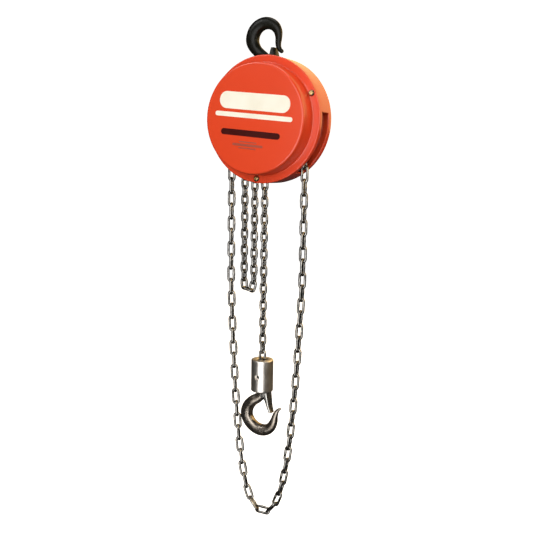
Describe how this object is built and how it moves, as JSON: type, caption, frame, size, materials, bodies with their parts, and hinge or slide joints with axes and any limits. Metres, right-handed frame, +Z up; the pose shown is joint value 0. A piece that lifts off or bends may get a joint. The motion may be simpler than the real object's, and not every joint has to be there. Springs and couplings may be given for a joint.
{
  "type": "hand chain hoist",
  "caption": "Hand chain hoist with a round pressed-steel body, latched swivel hooks above and below, a load chain with a slack loop and an endless hand chain.",
  "frame": {"origin": "saddle of the upper hook, the point that the hoist hangs from", "axes": "+Z up, +X to the right seen from the front, -Y is the front with the round cover"},
  "size_m": [0.229, 0.15, 0.9538],
  "materials": {
    "red_enamel": "gloss",
    "black_steel": "satin",
    "hook_steel": "satin",
    "latch_steel": "satin",
    "chain_zinc": "satin",
    "frame_steel": "satin",
    "gear_steel": "satin",
    "pin_steel": "satin",
    "cast_iron": "matte",
    "bronze": "satin",
    "brass_screw": "gloss",
    "brake_lining": "matte"
  },
  "bodies": {
    "frame": {"front_cover": "red_enamel", "hand_wheel_cover": "red_enamel", "gear_housing": "red_enamel", "cover_screw_1": "brass_screw", "cover_screw_2": "brass_screw", "cover_screw_3": "brass_screw", "front_frame_plate": "frame_steel", "rear_frame_plate": "frame_steel", "frame_stay_1": "frame_steel", "frame_stay_2": "frame_steel", "suspension_block": "frame_steel", "chain_stripper": "frame_steel", "sheave_bush_front": "bronze", "sheave_bush_rear": "bronze", "shaft_bush_front": "bronze", "shaft_bush_rear": "bronze", "chain_anchor_pin": "pin_steel", "housing_screw_1": "pin_steel", "housing_screw_2": "pin_steel", "housing_screw_3": "pin_steel", "intermediate_stud": "pin_steel", "ratchet_disc": "gear_steel", "pawl_stud": "pin_steel", "pawl_spring": "pin_steel", "hand_chain_left": "chain_zinc", "hand_chain_right": "chain_zinc", "hand_chain_bottom": "chain_zinc", "hand_chain_over_wheel": "chain_zinc", "load_chain_over_sheave": "chain_zinc"},
    "hand_wheel": {"hand_wheel": "cast_iron", "input_shaft": "pin_steel", "input_pinion": "gear_steel", "brake_hub": "gear_steel", "friction_disc_front": "brake_lining", "friction_disc_rear": "brake_lining", "limiter_spring_washer": "pin_steel", "wheel_nut": "pin_steel"},
    "intermediate": {"intermediate_gear": "gear_steel", "intermediate_pinion": "gear_steel"},
    "sheave": {"load_sheave": "gear_steel", "sheave_shaft": "pin_steel", "load_gear": "gear_steel"},
    "pawl": {"pawl": "gear_steel"},
    "upper_hook": {"upper_hook": "black_steel", "upper_hook_nut": "pin_steel", "upper_latch_pin": "pin_steel", "upper_latch_spring": "pin_steel"},
    "upper_latch": {"upper_latch": "black_steel"},
    "load_block": {"load_block_sleeve": "hook_steel", "chain_pin": "pin_steel", "hook_collar": "pin_steel", "thrust_washer": "bronze", "live_chain": "chain_zinc"},
    "lower_hook": {"lower_hook": "hook_steel", "lower_latch_pin": "pin_steel", "lower_latch_spring": "pin_steel"},
    "lower_latch": {"lower_latch": "latch_steel"},
    "slack_loop": {"slack_chain_left": "chain_zinc", "slack_chain_right": "chain_zinc", "slack_chain_bottom": "chain_zinc"}
  },
  "joints": [
    {"name": "hand_wheel_turn", "type": "hinge", "parent": "frame", "child": "hand_wheel", "pos_m": [0.03, -0.047, -0.171], "axis": [0, 1, 0], "range_deg": [-1440, 1440]},
    {"name": "intermediate_turn", "type": "hinge", "parent": "frame", "child": "intermediate", "pos_m": [0.02071, 0.0255, -0.20578], "axis": [0, 1, 0], "range_deg": [-480.5, 480.5]},
    {"name": "sheave_turn", "type": "hinge", "parent": "frame", "child": "sheave", "pos_m": [-0.0219, 0, -0.171], "axis": [0, 1, 0], "range_deg": [-180.5, 180.5]},
    {"name": "load_lift", "type": "slide", "parent": "frame", "child": "load_block", "axis": [0, 0, 1], "range_m": [-0.0665, 0.0665], "deforming": ["live_chain"]},
    {"name": "slack_shift", "type": "slide", "parent": "frame", "child": "slack_loop", "axis": [0, 0, 1], "range_m": [-0.0333, 0.0333], "deforming": ["slack_chain_left", "slack_chain_right"]},
    {"name": "pawl_lift", "type": "hinge", "parent": "frame", "child": "pawl", "pos_m": [0.0652, -0.0283, -0.1414], "axis": [0, 1, 0], "range_deg": [0, 12], "stiffness_Nm_per_rad": 0.02, "springref_deg": -17.19},
    {"name": "upper_hook_swivel", "type": "hinge", "parent": "frame", "child": "upper_hook", "pos_m": [0, 0, -0.071], "axis": [0, 0, 1], "continuous": true},
    {"name": "upper_latch_swing", "type": "hinge", "parent": "upper_hook", "child": "upper_latch", "pos_m": [0.002, 0, -0.053], "axis": [0, -1, 0], "range_deg": [0, 38], "stiffness_Nm_per_rad": 0.02, "springref_deg": -28.65},
    {"name": "lower_hook_swivel", "type": "hinge", "parent": "load_block", "child": "lower_hook", "pos_m": [0, 0, -0.69], "axis": [0, 0, 1], "continuous": true},
    {"name": "lower_latch_swing", "type": "hinge", "parent": "lower_hook", "child": "lower_latch", "pos_m": [0.006, 0, -0.706], "axis": [0, 1, 0], "range_deg": [0, 38], "stiffness_Nm_per_rad": 0.02, "springref_deg": -28.65}
  ],
  "couplings": [
    {"joint": "intermediate_turn", "follows": "hand_wheel_turn", "ratio": -0.33333},
    {"joint": "sheave_turn", "follows": "hand_wheel_turn", "ratio": 0.125},
    {"joint": "load_lift", "follows": "hand_wheel_turn", "m_per_rad": -0.002642},
    {"joint": "slack_shift", "follows": "hand_wheel_turn", "m_per_rad": 0.001321}
  ]
}
